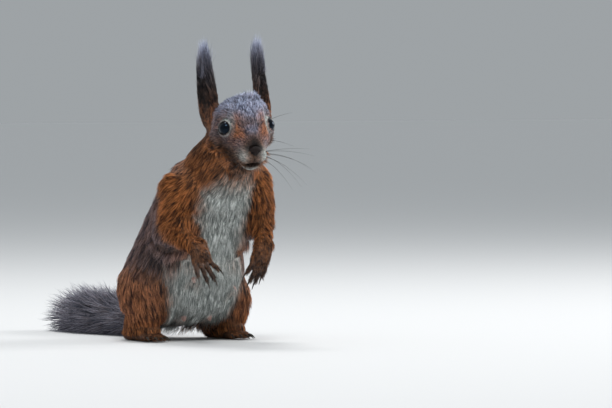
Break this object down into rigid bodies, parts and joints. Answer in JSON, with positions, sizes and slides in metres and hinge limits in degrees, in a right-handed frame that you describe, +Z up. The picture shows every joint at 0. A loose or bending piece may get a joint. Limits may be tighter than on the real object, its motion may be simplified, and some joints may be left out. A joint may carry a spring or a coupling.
{
  "type": "red squirrel",
  "caption": "Red squirrel, life size, standing up on its hind feet with forepaws hanging, tufted ears up and tail laid back on the floor; a still model.",
  "frame": {"origin": "on the floor, under the middle of the animal's bounding box, which lies between its hind feet and its tail", "axes": "+Z up; the animal faces -Y, with its head turned a little to its right; +X is its left"},
  "size_m": [0.0982, 0.293, 0.219],
  "materials": {
    "coat": "fur: russet limbs, grey-brown back and crown, white underside, dark ear tufts and tail",
    "eyes": "wet glossy black",
    "nose": "dark bare skin, slightly moist",
    "claws": "dark horn, satin"
  },
  "bodies": {
    "root": {"head": "coat", "neck": "coat", "trunk": "coat", "tail": "coat", "ear_left": "coat", "ear_tuft_left": "coat", "upper_arm_left": "coat", "forearm_left": "coat", "forepaw_left": "coat", "thigh_left": "coat", "lower_leg_left": "coat", "hind_foot_left": "coat", "ear_right": "coat", "ear_tuft_right": "coat", "upper_arm_right": "coat", "forearm_right": "coat", "forepaw_right": "coat", "thigh_right": "coat", "lower_leg_right": "coat", "hind_foot_right": "coat", "eye_left": "eyes", "eye_right": "eyes", "nose": "nose", "claw_front_left_1": "claws", "claw_front_left_2": "claws", "claw_front_left_3": "claws", "claw_front_left_4": "claws", "claw_front_right_1": "claws", "claw_front_right_2": "claws", "claw_front_right_3": "claws", "claw_front_right_4": "claws", "claw_hind_left_1": "claws", "claw_hind_left_2": "claws", "claw_hind_left_3": "claws", "claw_hind_left_4": "claws", "claw_hind_left_5": "claws", "claw_hind_right_1": "claws", "claw_hind_right_2": "claws", "claw_hind_right_3": "claws", "claw_hind_right_4": "claws", "claw_hind_right_5": "claws"}
  },
  "joints": []
}
